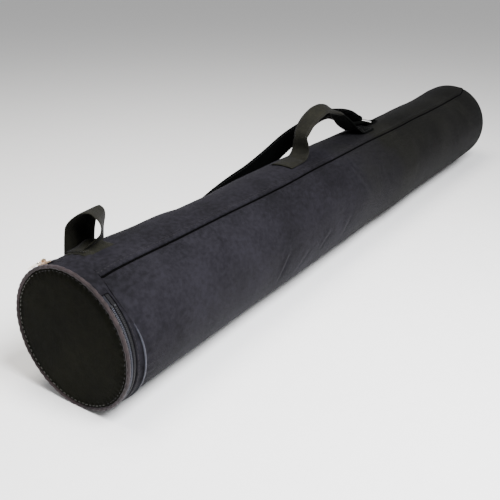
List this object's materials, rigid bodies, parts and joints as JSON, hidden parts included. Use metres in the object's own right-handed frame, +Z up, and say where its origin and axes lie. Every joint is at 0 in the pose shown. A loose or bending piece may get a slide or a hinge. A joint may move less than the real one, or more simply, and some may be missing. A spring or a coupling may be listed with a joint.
{
  "type": "drawing tube",
  "caption": "Padded fabric carrying tube for rolled drawings, with a zip-open round lid, carry handle, hanging loop and shoulder strap.",
  "frame": {"origin": "centre of the tube's mouth, on its axis", "axes": "+X along the tube from the mouth to the closed end, +Y towards the side the shoulder strap falls down, +Z up as it lies at rest"},
  "size_m": [0.8591, 0.186, 0.1673],
  "materials": {
    "shell_fabric": "woven nylon, matte with a faint sheen",
    "lid_fabric": "woven nylon, matte",
    "seam_tape": "folded and topstitched nylon",
    "stiffener": "sheet plastic",
    "foam": "closed-cell foam",
    "lining": "smooth woven lining",
    "zip_tape": "knitted tape",
    "zip_teeth": "moulded coil",
    "metal": "polished plate",
    "slider_metal": "worn plated",
    "piping": "bias-bound edge",
    "webbing": "flat woven webbing"
  },
  "bodies": {
    "tube": {"outer_shell": "shell_fabric", "cuff_band": "shell_fabric", "mouth_stiffener": "stiffener", "foam_padding": "foam", "lining": "lining", "long_seam": "seam_tape", "end_panel": "shell_fabric", "end_stiffener": "stiffener", "end_foam": "foam", "end_lining": "lining", "body_zip_tape": "zip_tape", "body_zip_teeth": "zip_teeth", "body_zip_stops": "metal", "hinge_gusset": "shell_fabric", "handle_feet": "webbing", "loop_foot": "webbing", "far_ring_tab": "webbing", "near_ring_tab": "webbing", "shoulder_strap": "webbing"},
    "lid": {"lid_zip_tape": "zip_tape", "lid_zip_teeth": "zip_teeth", "lid_zip_stops": "metal", "lid_panel": "lid_fabric", "lid_piping": "piping", "lid_stiffener": "stiffener", "lid_foam": "foam", "lid_lining": "lining"},
    "slider": {"zip_slider": "slider_metal"},
    "pull": {"pull_tab": "metal"},
    "handle": {"handle_grip": "webbing"},
    "loop": {"hanging_loop": "webbing"},
    "far_d_ring": {"far_ring": "metal"},
    "near_d_ring": {"near_ring": "metal"},
    "adjuster": {"strap_slide": "metal"}
  },
  "joints": [
    {"name": "lid_hinge", "type": "hinge", "parent": "tube", "child": "lid", "pos_m": [-0.0028, -0.01004, 0.05997], "axis": [0, 0.9863, 0.165], "range_deg": [0, 170]},
    {"name": "zip_travel", "type": "hinge", "parent": "tube", "child": "slider", "pos_m": [0, 0, 0], "axis": [-1, 0, 0], "range_deg": [0, 293.5]},
    {"name": "pull_flip", "type": "hinge", "parent": "slider", "child": "pull", "pos_m": [0, 0.02575, 0.05783], "axis": [1, 0, 0], "range_deg": [0, 160]},
    {"name": "handle_flop", "type": "hinge", "parent": "tube", "child": "handle", "pos_m": [0.395, 0, 0.07], "axis": [1, 0, 0], "range_deg": [0, 60], "stiffness_Nm_per_rad": 0.02},
    {"name": "loop_flop", "type": "hinge", "parent": "tube", "child": "loop", "pos_m": [0.039, 0.01464, 0.0587], "axis": [1, 0, 0], "range_deg": [-45, 25], "stiffness_Nm_per_rad": 0.01},
    {"name": "far_ring_swing", "type": "hinge", "parent": "tube", "child": "far_d_ring", "pos_m": [0.512, 0.01539, 0.06171], "axis": [0, 0.9703, -0.2419], "range_deg": [-18, 40]},
    {"name": "near_ring_swing", "type": "hinge", "parent": "tube", "child": "near_d_ring", "pos_m": [0.3, 0.05897, -0.02382], "axis": [0, -0.3746, -0.9272], "range_deg": [-18, 40]},
    {"name": "adjuster_slide", "type": "slide", "parent": "tube", "child": "adjuster", "axis": [-0.7532, 0.2636, -0.6026], "range_m": [-0.006, 0.006]}
  ]
}
